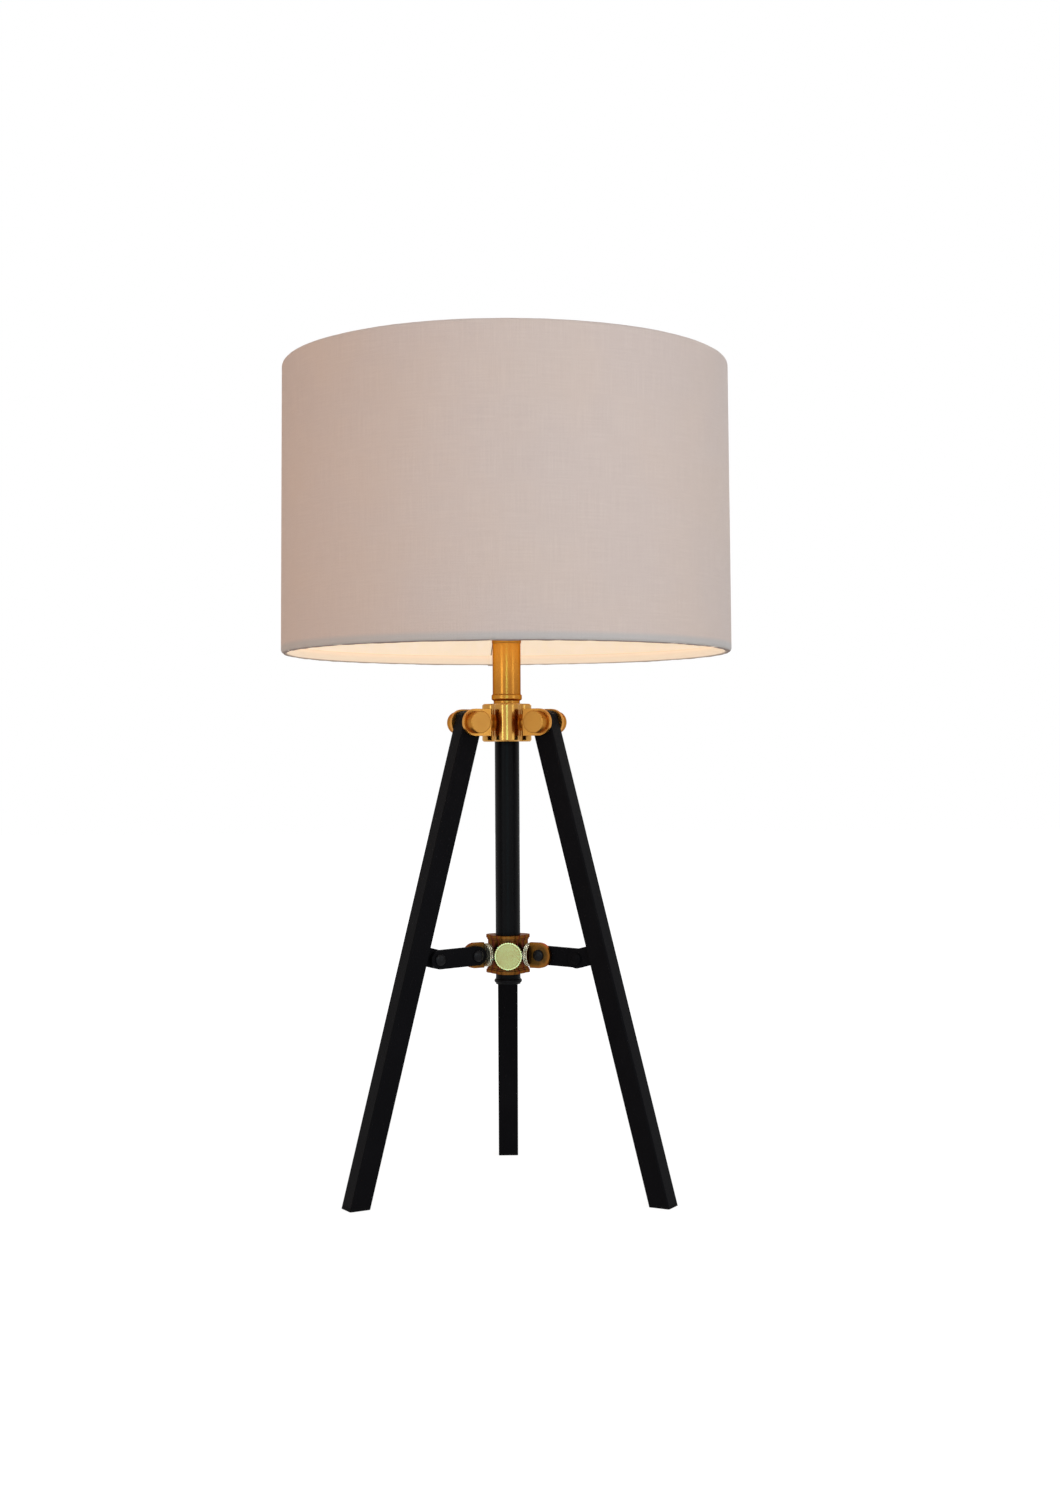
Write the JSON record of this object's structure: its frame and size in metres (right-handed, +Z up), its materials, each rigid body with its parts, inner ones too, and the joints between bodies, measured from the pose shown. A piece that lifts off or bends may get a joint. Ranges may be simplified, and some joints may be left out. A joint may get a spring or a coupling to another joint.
{
  "type": "table lamp",
  "caption": "Table lamp with a linen drum shade on a short brass neck, over a folding black tripod with a brass hub, a sliding brass collar and folding links.",
  "frame": {"origin": "on the table, on the lamp's axis, midway between the feet", "axes": "+Z up along the column; -Y is the front, where the locking knob faces; +X is the viewer's right"},
  "size_m": [0.3829, 0.383, 0.701],
  "materials": {
    "brass": "satin, warm antique brass with fine brushing",
    "brass_pins": "smooth satin, a little brighter than the hub",
    "brass_neck": "smooth satin, drawn tube with fine lines along its length",
    "knob_brass": "pale satin brass with a knurled edge",
    "harp_brass": "satin plated wire and strip",
    "socket_brass": "bright thin pressed brass",
    "black_paint": "satin black",
    "black_screws": "satin black",
    "black_plastic": "matt",
    "steel": "zinc-plated wire and pipe",
    "bulb_metal": "pressed screw base",
    "bulb_glass": "frosted white inside, lit",
    "shade_linen": "fine plain linen weave, greyish beige",
    "shade_liner": "matt white, glowing from the lit bulb",
    "hem_tape": "narrow folded tape, a little greyer than the shade",
    "sleeve_card": "plain fibre"
  },
  "bodies": {
    "stand": {"hub": "brass", "hub_fork_1": "brass", "hub_fork_2": "brass", "hub_fork_3": "brass", "pivot_bolts": "brass_pins", "pivot_nuts": "brass_pins", "column": "black_paint", "column_end_bead": "black_paint", "cord_bushing": "black_plastic", "lamp_pipe": "steel", "pipe_nut": "steel", "neck_bead": "brass", "neck_tube": "brass_neck", "neck_top_ring": "brass", "harp_saddle": "harp_brass", "harp_sleeves": "harp_brass", "harp": "harp_brass", "socket_cap": "socket_brass", "socket_shell": "socket_brass", "socket_sleeve": "sleeve_card", "socket_body": "black_plastic", "socket_screw_shell": "socket_brass"},
    "shade": {"shade_cover": "shade_linen", "shade_liner": "shade_liner", "shade_top_ring": "steel", "shade_spider": "steel", "shade_bottom_ring": "steel", "shade_top_hem": "hem_tape", "shade_bottom_hem": "hem_tape"},
    "finial": {"finial": "brass"},
    "bulb": {"bulb_base": "bulb_metal", "bulb_glass": "bulb_glass"},
    "switch_key": {"switch_key": "black_plastic"},
    "collar": {"collar": "brass", "lug_1": "brass", "lug_2": "brass", "lug_3": "brass", "lug_screws": "black_screws", "lug_nuts": "black_screws"},
    "locking_knob": {"locking_knob": "knob_brass"},
    "leg_1": {"leg_tube_1": "black_paint", "leg_eye_1": "black_paint", "leg_tab_1": "black_paint", "foot_cap_1": "black_plastic"},
    "link_1": {"link_1": "black_paint", "link_screw_1": "black_screws"},
    "leg_2": {"leg_tube_2": "black_paint", "leg_eye_2": "black_paint", "leg_tab_2": "black_paint", "foot_cap_2": "black_plastic"},
    "link_2": {"link_2": "black_paint", "link_screw_2": "black_screws"},
    "leg_3": {"leg_tube_3": "black_paint", "leg_eye_3": "black_paint", "leg_tab_3": "black_paint", "foot_cap_3": "black_plastic"},
    "link_3": {"link_3": "black_paint", "link_screw_3": "black_screws"}
  },
  "joints": [
    {"name": "collar_slide", "type": "slide", "parent": "stand", "child": "collar", "axis": [0, 0, 1], "range_m": [0, 0.028]},
    {"name": "leg_1_fold", "type": "hinge", "parent": "stand", "child": "leg_1", "pos_m": [-0.0323, -0.01865, 0.3974], "axis": [0.5, -0.866, 0], "range_deg": [0, 5.15]},
    {"name": "link_1_swing", "type": "hinge", "parent": "collar", "child": "link_1", "pos_m": [-0.02754, -0.0159, 0.2002], "axis": [0.5, -0.866, 0], "range_deg": [0, 57.82]},
    {"name": "leg_2_fold", "type": "hinge", "parent": "stand", "child": "leg_2", "pos_m": [0.0323, -0.01865, 0.3974], "axis": [0.5, 0.866, 0], "range_deg": [0, 5.15]},
    {"name": "link_2_swing", "type": "hinge", "parent": "collar", "child": "link_2", "pos_m": [0.02754, -0.0159, 0.2002], "axis": [0.5, 0.866, 0], "range_deg": [0, 57.82]},
    {"name": "leg_3_fold", "type": "hinge", "parent": "stand", "child": "leg_3", "pos_m": [0, 0.0373, 0.3974], "axis": [-1, 0, 0], "range_deg": [0, 5.15]},
    {"name": "link_3_swing", "type": "hinge", "parent": "collar", "child": "link_3", "pos_m": [0, 0.0318, 0.2002], "axis": [-1, 0, 0], "range_deg": [0, 57.82]},
    {"name": "knob_turn", "type": "hinge", "parent": "collar", "child": "locking_knob", "pos_m": [0, -0.025, 0.2002], "axis": [0, -1, 0], "continuous": true},
    {"name": "switch_turn", "type": "hinge", "parent": "stand", "child": "switch_key", "pos_m": [0, -0.02, 0.4955], "axis": [0, -1, 0], "continuous": true},
    {"name": "bulb_turn", "type": "hinge", "parent": "stand", "child": "bulb", "pos_m": [0, 0, 0.53], "axis": [0, 0, 1], "continuous": true},
    {"name": "shade_turn", "type": "hinge", "parent": "stand", "child": "shade", "pos_m": [0, 0, 0.68], "axis": [0, 0, 1], "continuous": true},
    {"name": "finial_turn", "type": "hinge", "parent": "stand", "child": "finial", "pos_m": [0, 0, 0.683], "axis": [0, 0, 1], "continuous": true}
  ],
  "couplings": [
    {"joint": "leg_1_fold", "follows": "collar_slide", "rad_per_m": 3.2077},
    {"joint": "link_1_swing", "follows": "collar_slide", "rad_per_m": 36.033},
    {"joint": "leg_2_fold", "follows": "collar_slide", "rad_per_m": 3.2077},
    {"joint": "link_2_swing", "follows": "collar_slide", "rad_per_m": 36.033},
    {"joint": "leg_3_fold", "follows": "collar_slide", "rad_per_m": 3.2077},
    {"joint": "link_3_swing", "follows": "collar_slide", "rad_per_m": 36.033}
  ]
}
